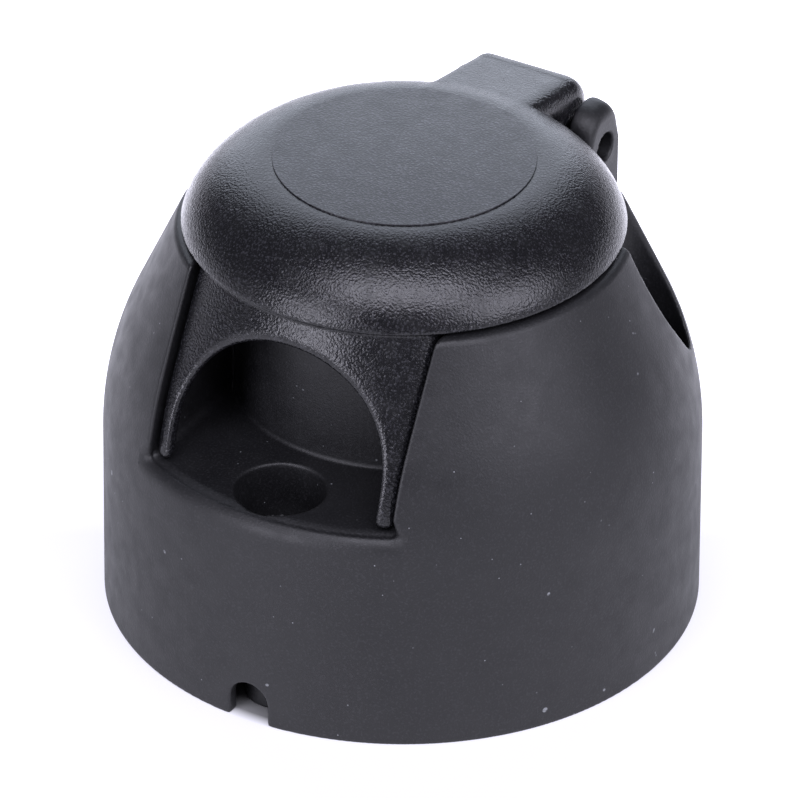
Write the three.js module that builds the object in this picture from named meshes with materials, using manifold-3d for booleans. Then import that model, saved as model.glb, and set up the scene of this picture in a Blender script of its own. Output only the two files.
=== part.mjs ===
// Thirteen-way trailer socket with a sprung lid, for bolting to a towing vehicle.
// Millimetres, +Z up. The origin is the centre of the foot, on the mounting plane.
// -Y is the front, where the finger recess and the drain notch are; +Y is the hinge side.
import * as THREE from 'three';
import { mergeVertices } from 'three/addons/utils/BufferGeometryUtils.js';
import Module from 'manifold-3d';

const wasm = await Module();
wasm.setup();

// ---- driving dimensions ----
const GAP = 0.3; // between pieces that touch

// bell-shaped shell: a nearly upright foot, a round shoulder, a cone up to the deck
const FOOT_RADIUS = 41;
const FOOT_HEIGHT = 25;
const FOOT_DRAFT = 0.15;
const SHOULDER_RADIUS = 45;
const SHOULDER_STEPS = 6;
const CONE_ANGLE = THREE.MathUtils.degToRad(24.9);
const DECK_Z = 57;
const WALL = 2;
const DECK_THICKNESS = 2.4;

// front window and finger recess
const WINDOW_HALF = 19;
const RECESS_FLOOR_Z = 32.4;
const RECESS_WALL = 2;

// socket barrel and its mouth
const BARREL_RADIUS = 23;
const MOUTH_RADIUS = 20.3;
const BARREL_TOP_Z = 58.2;
const BARREL_FOOT_Z = 31.5;
const LEDGE_TOP_Z = 34;
const LEDGE_RADIUS = 18;
const KEY_WIDTH = 5;
const KEY_ANGLE = -90;
const NOTCH_WIDTH = 3;
const NOTCH_ANGLES = [30, 150];
const KEY_DEPTH = 1.2;

// three mounting screws on a triangle of 56 mm sides
const SCREW_SPACING = 56;
const SCREW_CIRCLE = SCREW_SPACING / Math.sqrt(3);
const FRONT_SCREW = -90;
const RIGHT_SCREW = 30;
const LEFT_SCREW = 150;
const SCREW_ANGLES = [FRONT_SCREW, RIGHT_SCREW, LEFT_SCREW];
const WELL_RADIUS = 6.2;
const WELL_WALL = 1.5;
const WELL_CLEARANCE = 0.6; // between a well's wall and the shell
const WELL_SEAT_Z = 24;
const BOSS_RADIUS = 5;
const SCREW_HOLE_RADIUS = 2.75;

// drain notch in the foot
const DRAIN_HALF = 2.9;
const DRAIN_HEIGHT = 5.9;

// hinge
const HINGE_Y = 34.1;
const HINGE_Z = 55;
const EAR_INNER_X = 8.4;
const EAR_OUTER_X = 12;
const EAR_BACK_Y = 38;
const EAR_TOP_Z = 61.5;
const EAR_ROUND = 3.6;
const EAR_FRONT_Y = 29.8;
const EAR_FRONT_ROUND = 2.4;
const EAR_SIDE_ROUND = 2.4;
const HINGE_POCKET_Z = 49.4;
const HINGE_POCKET_FRONT_Y = 28.6;
const PIN_RADIUS = 1.8;
const PIN_HOLE_RADIUS = 2.1;
const PIN_HALF_LENGTH = 10.4;

// lid: flat disc, dome, rim
const DISC_RADIUS = 17.74;
const LID_TOP_Z = 67.3;
const DISC_STEP = 0.2;
const RIM_RADIUS = 30;
const RIM_Z = 57.4;
const RIM_EDGE = 0.4;
const LID_WALL = 2.2;
const DOME_RIM_INSET = 1.35;
const DOME_RIM_RISE = 5.6;
const DOME_TOP_REACH = 4.35;
const DOME_STEPS = 8;

// lid arm
const ARM_HALF = 8.1;
const ARM_BACK_Y = 37.4;
const ARM_ROOT_Z = 67;
const ARM_SLOPE = 0.17;
const ARM_ROOT_OVERLAP = 1;
const ARM_ROUND = 4.5;
const KNUCKLE_RADIUS = 3.7;
const CHEEK_INNER_X = 5.2;
const ARM_CEILING_Z = 60;
const EAR_CLEARANCE = 0.5;

// finger tab on the front of the lid
const TAB_HALF = 17.8;
const TAB_SINK = 1.35;
const TAB_THICKNESS = 2.3;
const TAB_TIP_Z = 32.75;
const ARCH_RADIUS = 15.9;
const ARCH_Z = 37.2;

// rubber seal under the lid, held between two ribs
const SEAL_INNER = 19.4;
const SEAL_OUTER = 24.1;
const SEAL_HEIGHT = 2;
const RIB_WIDTH = 1.5;
const RIB_OVERLAP = 1.2;

// torsion spring on the hinge pin
const COIL_RADIUS = 2.5;
const COIL_HALF_LENGTH = 3.9;
const COIL_TURNS = 7;
const WIRE_RADIUS = 0.4;
const LEG_LENGTH = 4.2;
const LEG_LEAN = 0.5;

// contact insert
const INSERT_RADIUS = 23;
const INSERT_TOP_Z = 29.9;
const INSERT_THICKNESS = 4;
const POST_RADIUS = 15;
const POST_TOP_Z = 50;
const GASKET_INNER = 18.5;
const GASKET_OUTER = 22.7;
const GASKET_THICKNESS = 1;
const LUG_CIRCLE = 25.7;
const LUG_RADIUS = 3.2;
const LUG_ANGLES = [90, 210, 330];
const LUG_BOSS_RADIUS = 3.2;
const LUG_BOSS_TOP_Z = 46;

// screws that hold the insert
const SHANK_RADIUS = 1.2;
const SHANK_LENGTH = 14;
const HEAD_RADIUS = 2.3;
const HEAD_HEIGHT = 1.9;
const CROSS_REACH = 1.6;

// contacts: eight outside, four inside, one in the middle
const OUTER_CIRCLE = 11.2;
const OUTER_COUNT = 8;
const INNER_CIRCLE = 5.6;
const INNER_COUNT = 4;
const CONTACT_START = -90; // each ring begins half a step past this angle
const CONTACT_RADIUS = 2;
const CONTACT_BORE = 1.35;
const CONTACT_BORE_FOOT_Z = 32;
const CONTACT_TOP_Z = 48.5;
const TERMINAL_RADIUS = 2.4;
const OUTER_TERMINAL_Z = 15;
const INNER_TERMINAL_Z = 9.5;
const MIDDLE_TERMINAL_Z = 4.5;
const WIRE_BORE = 1.3;
const WIRE_DEPTH = 6;

// clamp screw of each terminal, set square to the wire
const CLAMP_HEIGHT = 2.6;
const CLAMP_RADIUS = 0.9;
const CLAMP_HEAD_RADIUS = 1.6;
const CLAMP_HEAD_HEIGHT = 1.2;
const SLOT_WIDTH = 0.5;
const SLOT_DEPTH = 0.6;

// sides of the round shapes
const ROUND = 64;
const MEDIUM_ROUND = 40;
const WELL_ROUND = 24;
const SMALL_ROUND = 14;
const CONTACT_ROUND = 10;
const TINY_ROUND = 8;
const OUTLINE_SEGMENTS = 7;
const ARCH_SEGMENTS = 20;
const TURN_STEPS = 14;
const WIRE_SEGMENTS = 3;
const MERGE_TOLERANCE = 1e-4;
const PAST = 1; // how far a cut runs past the face that it leaves

// ---- materials ----
function plastic(name, color, roughness) {
  return new THREE.MeshStandardMaterial({ name, color, roughness, metalness: 0 });
}

function metal(name, color, roughness) {
  return new THREE.MeshStandardMaterial({ name, color, roughness, metalness: 1 });
}

const shellPlastic = plastic('shell_plastic', 0x2b2c2e, 0.62);
const lidPlastic = plastic('lid_plastic', 0x232427, 0.45);
const insertPlastic = plastic('insert_plastic', 0x1d1d1f, 0.5);
const rubber = plastic('seal_rubber', 0x141414, 0.85);
const brass = metal('contact_brass', 0xc9a455, 0.3);
const steel = metal('pin_steel', 0xa8abae, 0.35);
const springSteel = metal('spring_steel', 0x8f9296, 0.3);
const screwSteel = metal('screw_steel', 0xc2c4c6, 0.3);

// ---- solids ----
function solid(geometry) {
  const bare = geometry.clone();
  bare.deleteAttribute('normal');
  bare.deleteAttribute('uv');
  const merged = mergeVertices(bare, MERGE_TOLERANCE);
  const vertProperties = new Float32Array(merged.attributes.position.array);
  const triVerts = new Uint32Array(merged.index.array);
  return new wasm.Manifold(new wasm.Mesh({ numProp: 3, vertProperties, triVerts }));
}

function geometryOf(body) {
  const { vertProperties, triVerts } = body.getMesh();
  const geometry = new THREE.BufferGeometry();
  geometry.setAttribute('position', new THREE.BufferAttribute(vertProperties, 3));
  geometry.setIndex(new THREE.BufferAttribute(triVerts, 1));
  geometry.computeVertexNormals();
  return geometry;
}

function union(bodies) {
  return bodies.reduce((whole, body) => whole.add(body));
}

// profile: [radius, z] points, up the outside from the axis, or once round a closed ring
function turned(profile, sides = ROUND) {
  const points = profile.map(([r, z]) => new THREE.Vector2(r, z));
  return solid(new THREE.LatheGeometry(points, sides).rotateX(Math.PI / 2));
}

function rod(radius, bottom, top, sides = SMALL_ROUND) {
  return turned([[0, bottom], [radius, bottom], [radius, top], [0, top]], sides);
}

function ring(inner, outer, bottom, top, sides = MEDIUM_ROUND) {
  const profile = [[inner, bottom], [outer, bottom], [outer, top], [inner, top], [inner, bottom]];
  return turned(profile, sides);
}

function box(x0, x1, y0, y1, z0, z1) {
  const geometry = new THREE.BoxGeometry(x1 - x0, y1 - y0, z1 - z0);
  geometry.translate((x0 + x1) / 2, (y0 + y1) / 2, (z0 + z1) / 2);
  return solid(geometry);
}

// stretches a flat shape by depth, then turns its X, Y and depth onto the given axes
function extruded(shape, depth, xAxis, yAxis, depthAxis, curveSegments) {
  const geometry = new THREE.ExtrudeGeometry(shape, { depth, bevelEnabled: false, curveSegments });
  const axes = new THREE.Matrix4().makeBasis(
    new THREE.Vector3(...xAxis),
    new THREE.Vector3(...yAxis),
    new THREE.Vector3(...depthAxis),
  );
  return geometry.applyMatrix4(axes);
}

// a shape drawn in the YZ plane, between two places on X
function alongX(shape, x0, x1, curveSegments = OUTLINE_SEGMENTS) {
  const geometry = extruded(shape, x1 - x0, [0, 1, 0], [0, 0, 1], [1, 0, 0], curveSegments);
  return solid(geometry.translate(x0, 0, 0));
}

// a shape drawn in the XZ plane, between two places on Y
function alongY(shape, y0, y1, curveSegments = OUTLINE_SEGMENTS) {
  const geometry = extruded(shape, y1 - y0, [1, 0, 0], [0, 0, 1], [0, -1, 0], curveSegments);
  return solid(geometry.translate(0, y1, 0));
}

function hingeRod(radius, x0, x1, sides = SMALL_ROUND) {
  const geometry = new THREE.CylinderGeometry(radius, radius, x1 - x0, sides);
  geometry.rotateZ(Math.PI / 2).translate((x0 + x1) / 2, HINGE_Y, HINGE_Z);
  return solid(geometry);
}

// copies of a solid at angles on a circle about Z
function onCircle(body, radius, angles) {
  const copies = angles.map((degrees) => {
    const angle = THREE.MathUtils.degToRad(degrees);
    return body.translate([radius * Math.cos(angle), radius * Math.sin(angle), 0]);
  });
  return union(copies);
}

// ---- the bell, which the shell and the finger tab share ----
// its outside moved inward by offset along the normal, as [radius, z] points
function bellOutline(offset, top) {
  const footTop = FOOT_RADIUS - FOOT_DRAFT;
  const centre = footTop - SHOULDER_RADIUS;
  const radius = SHOULDER_RADIUS - offset;
  const points = [[FOOT_RADIUS - offset, 0], [footTop - offset, FOOT_HEIGHT]];
  for (let i = 1; i <= SHOULDER_STEPS; i += 1) {
    const angle = (CONE_ANGLE * i) / SHOULDER_STEPS;
    points.push([centre + radius * Math.cos(angle), FOOT_HEIGHT + radius * Math.sin(angle)]);
  }
  const [r, z] = points.at(-1);
  points.push([r - (top - z) * Math.tan(CONE_ANGLE), top]);
  return points;
}

function bell(offset, top) {
  return turned([[0, 0], ...bellOutline(offset, top), [0, top]]);
}

// ---- housing: one moulding, as simple solids a little apart ----
function earOutline() {
  const shape = new THREE.Shape();
  shape.moveTo(EAR_BACK_Y, FOOT_HEIGHT);
  shape.lineTo(EAR_BACK_Y, EAR_TOP_Z - EAR_ROUND);
  shape.absarc(EAR_BACK_Y - EAR_ROUND, EAR_TOP_Z - EAR_ROUND, EAR_ROUND, 0, Math.PI / 2);
  const frontRound = EAR_FRONT_ROUND;
  shape.absarc(EAR_FRONT_Y + frontRound, EAR_TOP_Z - frontRound, frontRound, Math.PI / 2, Math.PI);
  shape.lineTo(EAR_FRONT_Y, DECK_Z - DECK_THICKNESS);
  shape.lineTo(HINGE_POCKET_FRONT_Y - WALL, DECK_Z - DECK_THICKNESS);
  shape.lineTo(HINGE_POCKET_FRONT_Y - WALL, FOOT_HEIGHT);
  return shape;
}

// the block seen from behind, with its upper corners rounded
function earWidth() {
  const roundX = EAR_OUTER_X - EAR_SIDE_ROUND;
  const roundZ = EAR_TOP_Z - EAR_SIDE_ROUND;
  const shape = new THREE.Shape();
  shape.moveTo(-EAR_OUTER_X, 0);
  shape.lineTo(EAR_OUTER_X, 0);
  shape.absarc(roundX, roundZ, EAR_SIDE_ROUND, 0, Math.PI / 2);
  shape.absarc(-roundX, roundZ, EAR_SIDE_ROUND, Math.PI / 2, Math.PI);
  return shape;
}

// everything inside the shell's walls and under its deck, less a clearance
function insideShell(clearance) {
  return bell(WALL + clearance, DECK_Z - DECK_THICKNESS - clearance);
}

// the shell with the block that carries the ears, hollow below the hinge
function shellWithHinge() {
  const below = rod(FOOT_RADIUS - WALL, -PAST, 0, ROUND);
  const bellShell = bell(0, DECK_Z).subtract(insideShell(0).add(below));
  const long = alongX(earOutline(), -EAR_OUTER_X - PAST, EAR_OUTER_X + PAST);
  const block = long.intersect(alongY(earWidth(), 0, EAR_BACK_Y + PAST));
  const hollowX = EAR_OUTER_X - WALL;
  const hollow = box(-hollowX, hollowX, 0, EAR_BACK_Y - WALL, 0, HINGE_POCKET_Z - WALL);
  return bellShell.add(block).subtract(hollow);
}

function drainNotch() {
  const shape = new THREE.Shape();
  shape.moveTo(-DRAIN_HALF, -PAST);
  shape.lineTo(DRAIN_HALF, -PAST);
  shape.absarc(0, DRAIN_HEIGHT - DRAIN_HALF, DRAIN_HALF, 0, Math.PI);
  return alongY(shape, -FOOT_RADIUS - PAST, -FOOT_RADIUS + WALL + PAST);
}

function recessPocket() {
  return box(-WINDOW_HALF, WINDOW_HALF, -FOOT_RADIUS - PAST, 0, RECESS_FLOOR_Z, BARREL_TOP_Z + PAST);
}

function keyways() {
  const reach = MOUTH_RADIUS + KEY_DEPTH;
  const slot = (width) => box(0, reach, -width / 2, width / 2, LEDGE_TOP_Z, BARREL_TOP_Z + PAST);
  const slots = NOTCH_ANGLES.map((angle) => slot(NOTCH_WIDTH).rotate([0, 0, angle]));
  return union([slot(KEY_WIDTH).rotate([0, 0, KEY_ANGLE]), ...slots]);
}

// plug mouth and, through the ledge, the opening for the insert's post
function barrelBore() {
  const mouthTop = BARREL_TOP_Z + PAST;
  const mouth = rod(MOUTH_RADIUS, LEDGE_TOP_Z, mouthTop, ROUND);
  return mouth.add(rod(LEDGE_RADIUS, BARREL_FOOT_Z - PAST, mouthTop, MEDIUM_ROUND));
}

function screwWells() {
  const well = rod(WELL_RADIUS, WELL_SEAT_Z, BARREL_TOP_Z + PAST, WELL_ROUND);
  const hole = rod(SCREW_HOLE_RADIUS, -PAST, WELL_SEAT_Z + PAST);
  return onCircle(well.add(hole), SCREW_CIRCLE, SCREW_ANGLES);
}

function shell() {
  const armPocket = box(
    -EAR_INNER_X, EAR_INNER_X, HINGE_POCKET_FRONT_Y, EAR_BACK_Y + PAST, HINGE_POCKET_Z, EAR_TOP_Z + PAST,
  );
  const pinHole = hingeRod(PIN_HOLE_RADIUS, -EAR_OUTER_X - PAST, EAR_OUTER_X + PAST);
  const barrelHole = rod(BARREL_RADIUS + GAP, BARREL_FOOT_Z, BARREL_TOP_Z, ROUND);
  const cuts = [recessPocket(), barrelHole, screwWells(), armPocket, pinHole, drainNotch()];
  return cuts.reduce((body, cut) => body.subtract(cut), shellWithHinge());
}

function lugBosses(clearance) {
  const boss = rod(LUG_BOSS_RADIUS + clearance, BARREL_FOOT_Z, LUG_BOSS_TOP_Z + clearance, SMALL_ROUND);
  return onCircle(boss, LUG_CIRCLE, LUG_ANGLES);
}

function barrel() {
  const pilotTop = INSERT_TOP_Z - INSERT_THICKNESS + SHANK_LENGTH + GAP;
  const pilot = rod(SHANK_RADIUS + GAP, BARREL_FOOT_Z - PAST, pilotTop, SMALL_ROUND);
  const pilots = onCircle(pilot, LUG_CIRCLE, LUG_ANGLES);
  const body = rod(BARREL_RADIUS, BARREL_FOOT_Z, BARREL_TOP_Z, ROUND).add(lugBosses(0));
  return body.subtract(barrelBore()).subtract(keyways()).subtract(pilots);
}

// floor and side walls of the finger recess
function recessTray() {
  const side = WINDOW_HALF + RECESS_WALL;
  const block = box(-side, side, -FOOT_RADIUS, 0, RECESS_FLOOR_Z - RECESS_WALL, DECK_Z);
  const round = rod(BARREL_RADIUS + GAP, 0, DECK_Z, ROUND);
  const cuts = [recessPocket(), round, lugBosses(GAP), screwWells()];
  return cuts.reduce((body, cut) => body.subtract(cut), block.intersect(insideShell(GAP)));
}

function screwWell(degrees, top) {
  const tube = rod(WELL_RADIUS + WELL_WALL, WELL_SEAT_Z - WALL, top, WELL_ROUND);
  const whole = tube.add(rod(BOSS_RADIUS, 0, WELL_SEAT_Z, WELL_ROUND));
  const placed = onCircle(whole, SCREW_CIRCLE, [degrees]);
  return placed.intersect(insideShell(WELL_CLEARANCE)).subtract(screwWells());
}

// ---- lid ----
function domeCurve() {
  return new THREE.CubicBezierCurve(
    new THREE.Vector2(RIM_RADIUS, RIM_Z + RIM_EDGE),
    new THREE.Vector2(RIM_RADIUS - DOME_RIM_INSET, RIM_Z + DOME_RIM_RISE),
    new THREE.Vector2(DISC_RADIUS + DOME_TOP_REACH, LID_TOP_Z - DISC_STEP),
    new THREE.Vector2(DISC_RADIUS + DISC_STEP, LID_TOP_Z - DISC_STEP),
  );
}

// the cap alone: underside from the axis outward, then over the rim and back up the dome
function cap() {
  const ribFoot = BARREL_TOP_Z + GAP + SEAL_HEIGHT - RIB_OVERLAP;
  const seat = BARREL_TOP_Z + GAP + SEAL_HEIGHT + GAP;
  const innerRib = SEAL_INNER - GAP;
  const outerRib = SEAL_OUTER + GAP;
  const ceiling = LID_TOP_Z - LID_WALL;
  const underside = [
    [0, ceiling],
    [innerRib - RIB_WIDTH, ceiling],
    [innerRib - RIB_WIDTH, ribFoot],
    [innerRib, ribFoot],
    [innerRib, seat],
    [outerRib, seat],
    [outerRib, ribFoot],
    [outerRib + RIB_WIDTH, ribFoot],
    [outerRib + RIB_WIDTH, seat],
    [RIM_RADIUS - LID_WALL, RIM_Z + LID_WALL / 2],
    [RIM_RADIUS - LID_WALL, RIM_Z],
    [RIM_RADIUS - RIM_EDGE, RIM_Z],
  ];
  const dome = domeCurve().getPoints(DOME_STEPS).map((point) => [point.x, point.y]);
  return turned([...underside, ...dome, [DISC_RADIUS, LID_TOP_Z], [0, LID_TOP_Z]]);
}

function armOutline() {
  const topAt = (y) => ARM_ROOT_Z - ARM_SLOPE * (y - DISC_RADIUS);
  const roundY = ARM_BACK_Y - ARM_ROUND;
  const roundZ = topAt(roundY) - ARM_ROUND;
  const frontY = HINGE_Y - KNUCKLE_RADIUS;
  const shape = new THREE.Shape();
  shape.moveTo(frontY, RIM_Z);
  shape.lineTo(frontY, HINGE_Z);
  shape.absarc(HINGE_Y, HINGE_Z, KNUCKLE_RADIUS, Math.PI, 2 * Math.PI);
  shape.lineTo(ARM_BACK_Y, HINGE_Z);
  shape.absarc(roundY, roundZ, ARM_ROUND, 0, Math.PI / 2);
  shape.lineTo(DISC_RADIUS - ARM_ROOT_OVERLAP, ARM_ROOT_Z);
  shape.lineTo(DISC_RADIUS - ARM_ROOT_OVERLAP, ARM_ROOT_Z - LID_WALL / 2);
  shape.lineTo(RIM_RADIUS - LID_WALL, RIM_Z + LID_WALL);
  shape.lineTo(RIM_RADIUS - LID_WALL, RIM_Z);
  return shape;
}

function arm() {
  const back = ARM_BACK_Y + PAST;
  const pocket = box(-CHEEK_INNER_X, CHEEK_INNER_X, RIM_RADIUS, back, HINGE_POCKET_Z, ARM_CEILING_Z);
  const pinHole = hingeRod(PIN_HOLE_RADIUS, -ARM_HALF - PAST, ARM_HALF + PAST);
  return alongX(armOutline(), -ARM_HALF, ARM_HALF).subtract(pocket).subtract(pinHole);
}

function arch() {
  const shape = new THREE.Shape();
  shape.moveTo(-ARCH_RADIUS, TAB_TIP_Z - PAST);
  shape.lineTo(ARCH_RADIUS, TAB_TIP_Z - PAST);
  shape.absarc(0, ARCH_Z, ARCH_RADIUS, 0, Math.PI);
  return alongY(shape, -FOOT_RADIUS - PAST, 0, ARCH_SEGMENTS);
}

function fingerTab() {
  const top = RIM_Z + LID_WALL;
  const sheet = bell(TAB_SINK, top + PAST).subtract(bell(TAB_SINK + TAB_THICKNESS, top + 2 * PAST));
  const front = box(-TAB_HALF, TAB_HALF, -FOOT_RADIUS, 0, TAB_TIP_Z, top);
  return sheet.intersect(front).subtract(arch());
}

// the dome is cut away round the ears, so that it swings past them
function earReliefs() {
  const reach = Math.hypot(HINGE_Y - EAR_FRONT_Y, EAR_TOP_Z - HINGE_Z) + EAR_CLEARANCE;
  const inner = EAR_INNER_X - GAP;
  const outer = EAR_OUTER_X + GAP;
  return hingeRod(reach, inner, outer, WELL_ROUND).add(hingeRod(reach, -outer, -inner, WELL_ROUND));
}

function lid() {
  return cap().subtract(earReliefs()).add(arm()).add(fingerTab());
}

// ---- hinge pieces ----
class SpringWire extends THREE.Curve {
  // t runs from the tip of the upper leg, down it, round the coil and down the lower leg
  getPoint(t, target = new THREE.Vector3()) {
    const coilLength = 2 * Math.PI * COIL_RADIUS * COIL_TURNS;
    const along = t * (coilLength + 2 * LEG_LENGTH) - LEG_LENGTH;
    const wound = Math.min(Math.max(along, 0), coilLength);
    const beyond = along - wound;
    const angle = Math.PI + wound / COIL_RADIUS;
    const x = COIL_HALF_LENGTH * ((2 * wound) / coilLength - 1);
    const lean = (LEG_LEAN * Math.abs(beyond)) / LEG_LENGTH;
    const y = HINGE_Y + COIL_RADIUS * Math.cos(angle) - lean;
    const z = HINGE_Z + COIL_RADIUS * Math.sin(angle) - beyond;
    return target.set(x, y, z);
  }
}

function lidSpring() {
  const section = new THREE.Shape();
  section.absarc(0, 0, WIRE_RADIUS, 0, 2 * Math.PI);
  return solid(new THREE.ExtrudeGeometry(section, {
    extrudePath: new SpringWire(),
    steps: COIL_TURNS * TURN_STEPS,
    curveSegments: WIRE_SEGMENTS,
    bevelEnabled: false,
  }));
}

// ---- insert, gasket and screws ----
function contactPlaces() {
  const around = (count, radius, foot, start) => Array.from({ length: count }, (_, i) => (
    { radius, foot, degrees: start + (360 * i) / count }
  ));
  return [
    ...around(OUTER_COUNT, OUTER_CIRCLE, OUTER_TERMINAL_Z, CONTACT_START + 180 / OUTER_COUNT),
    ...around(INNER_COUNT, INNER_CIRCLE, INNER_TERMINAL_Z, CONTACT_START + 180 / INNER_COUNT),
    { radius: 0, foot: MIDDLE_TERMINAL_Z, degrees: CONTACT_START },
  ];
}

function contactInsert() {
  const foot = INSERT_TOP_Z - INSERT_THICKNESS;
  const plate = rod(INSERT_RADIUS, foot, INSERT_TOP_Z, MEDIUM_ROUND);
  const lugs = onCircle(rod(LUG_RADIUS, foot, INSERT_TOP_Z), LUG_CIRCLE, LUG_ANGLES);
  const post = rod(POST_RADIUS, foot, POST_TOP_Z, MEDIUM_ROUND);
  const lugHole = rod(SHANK_RADIUS + GAP, foot - PAST, INSERT_TOP_Z + PAST);
  const lugHoles = onCircle(lugHole, LUG_CIRCLE, LUG_ANGLES);
  const socketHole = rod(CONTACT_RADIUS + GAP, foot - PAST, CONTACT_TOP_Z + GAP, CONTACT_ROUND);
  const pinHole = rod(CONTACT_BORE + GAP, foot, POST_TOP_Z + PAST, CONTACT_ROUND);
  const contactHole = socketHole.add(pinHole);
  const holes = contactPlaces().map((place) => onCircle(contactHole, place.radius, [place.degrees]));
  return union([plate, lugs, post]).subtract(lugHoles).subtract(union(holes));
}

function insertScrew() {
  const seat = INSERT_TOP_Z - INSERT_THICKNESS - GAP;
  const head = rod(HEAD_RADIUS, seat - HEAD_HEIGHT, seat, SMALL_ROUND);
  const shank = rod(SHANK_RADIUS, seat - HEAD_HEIGHT / 2, seat + SHANK_LENGTH, TINY_ROUND);
  const slot = (x, y) => box(-x, x, -y, y, seat - HEAD_HEIGHT - PAST, seat - HEAD_HEIGHT + 2 * SLOT_DEPTH);
  const cross = slot(CROSS_REACH, SLOT_WIDTH / 2).add(slot(SLOT_WIDTH / 2, CROSS_REACH));
  return head.add(shank).subtract(cross);
}

// ---- contacts and clamp screws, made on the axis with the clamp screw towards +X ----
function contact(foot) {
  const flange = INSERT_TOP_Z - INSERT_THICKNESS - GAP;
  const outside = turned([
    [0, foot],
    [TERMINAL_RADIUS, foot],
    [TERMINAL_RADIUS, flange],
    [CONTACT_RADIUS, flange],
    [CONTACT_RADIUS, CONTACT_TOP_Z],
    [0, CONTACT_TOP_Z],
  ], CONTACT_ROUND);
  const bore = rod(CONTACT_BORE, CONTACT_BORE_FOOT_Z, CONTACT_TOP_Z + PAST, TINY_ROUND);
  const wire = rod(WIRE_BORE, foot - PAST, foot + WIRE_DEPTH, TINY_ROUND);
  const clampHole = sideRod(CLAMP_RADIUS + GAP, 0, TERMINAL_RADIUS + PAST, foot + CLAMP_HEIGHT);
  return outside.subtract(bore).subtract(wire).subtract(clampHole);
}

function sideRod(radius, x0, x1, z, sides = TINY_ROUND) {
  const geometry = new THREE.CylinderGeometry(radius, radius, x1 - x0, sides);
  return solid(geometry.rotateZ(Math.PI / 2).translate((x0 + x1) / 2, 0, z));
}

function clampScrew(foot) {
  const z = foot + CLAMP_HEIGHT;
  const headFoot = TERMINAL_RADIUS + GAP;
  const headTop = headFoot + CLAMP_HEAD_HEIGHT;
  const shank = sideRod(CLAMP_RADIUS, WIRE_BORE - GAP, headTop - SLOT_DEPTH, z);
  const head = sideRod(CLAMP_HEAD_RADIUS, headFoot, headTop, z, CONTACT_ROUND);
  const half = SLOT_WIDTH / 2;
  const reach = CLAMP_HEAD_RADIUS;
  const slot = box(headTop - SLOT_DEPTH, headTop + PAST, -reach, reach, z - half, z + half);
  return shank.add(head).subtract(slot);
}

// ---- the assembly ----
const socket = new THREE.Group();

function place(name, body, material, radius = 0, degrees = 0) {
  const mesh = new THREE.Mesh(geometryOf(body), material);
  const angle = THREE.MathUtils.degToRad(degrees);
  mesh.name = name;
  mesh.position.set(radius * Math.cos(angle), radius * Math.sin(angle), 0);
  mesh.rotation.z = angle;
  socket.add(mesh);
}

place('housing', shell(), shellPlastic);
place('contact_barrel', barrel(), shellPlastic);
place('recess_tray', recessTray(), shellPlastic);
const trayFoot = RECESS_FLOOR_Z - RECESS_WALL;
place('front_screw_well', screwWell(FRONT_SCREW, trayFoot - GAP), shellPlastic);
place('right_screw_well', screwWell(RIGHT_SCREW, DECK_Z), shellPlastic);
place('left_screw_well', screwWell(LEFT_SCREW, DECK_Z), shellPlastic);
place('lid', lid(), lidPlastic);
const sealFoot = BARREL_TOP_Z + GAP;
place('lid_seal', ring(SEAL_INNER, SEAL_OUTER, sealFoot, sealFoot + SEAL_HEIGHT), rubber);
place('hinge_pin', hingeRod(PIN_RADIUS, -PIN_HALF_LENGTH, PIN_HALF_LENGTH), steel);
place('lid_spring', lidSpring(), springSteel);
place('contact_insert', contactInsert(), insertPlastic);
const gasketFoot = INSERT_TOP_Z + GAP;
place('insert_gasket', ring(GASKET_INNER, GASKET_OUTER, gasketFoot, gasketFoot + GASKET_THICKNESS), rubber);
LUG_ANGLES.forEach((degrees, i) => {
  place(`insert_screw_${i + 1}`, insertScrew(), screwSteel, LUG_CIRCLE, degrees);
});
contactPlaces().forEach(({ radius, foot, degrees }, i) => {
  const number = String(i + 1).padStart(2, '0');
  place(`contact_${number}`, contact(foot), brass, radius, degrees);
  place(`terminal_screw_${number}`, clampScrew(foot), screwSteel, radius, degrees);
});

export default socket;
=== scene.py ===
import math

import bpy
import numpy as np
from mathutils import Matrix, Vector


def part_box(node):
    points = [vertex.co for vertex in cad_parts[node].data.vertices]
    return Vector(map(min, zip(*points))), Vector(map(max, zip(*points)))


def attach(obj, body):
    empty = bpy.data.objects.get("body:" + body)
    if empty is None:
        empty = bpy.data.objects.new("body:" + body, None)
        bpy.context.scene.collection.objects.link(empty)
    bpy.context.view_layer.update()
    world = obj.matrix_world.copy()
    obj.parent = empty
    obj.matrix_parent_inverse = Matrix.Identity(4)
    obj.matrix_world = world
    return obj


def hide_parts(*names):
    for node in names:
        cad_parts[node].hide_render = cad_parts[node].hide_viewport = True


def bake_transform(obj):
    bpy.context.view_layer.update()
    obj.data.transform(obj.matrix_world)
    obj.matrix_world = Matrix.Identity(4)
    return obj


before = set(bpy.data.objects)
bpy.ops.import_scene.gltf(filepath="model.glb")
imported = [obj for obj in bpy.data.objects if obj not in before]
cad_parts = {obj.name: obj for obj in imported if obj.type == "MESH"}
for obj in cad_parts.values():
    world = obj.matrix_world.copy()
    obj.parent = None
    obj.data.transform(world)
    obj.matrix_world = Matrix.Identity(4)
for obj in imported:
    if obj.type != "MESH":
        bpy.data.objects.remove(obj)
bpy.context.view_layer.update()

# The looks of a trailer socket: a black bell-shaped housing with a sprung, domed lid.
# Shapes are worked out in millimetres, in the frame of the CAD model: +Z up, the foot on
# z = 0, the hinge towards +Y. A moulded piece is given by a field, a function of x, y and z
# that is negative inside the piece and grows with the distance from its surface.

MM = 0.001
HOUSING_BODY = "housing_body"
MOULDING_NODES = ["housing", "contact_barrel", "recess_tray"]
MOULDING_NODES += [side + "_screw_well" for side in ("front", "right", "left")]
LID_BODY = "lid_body"

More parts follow.
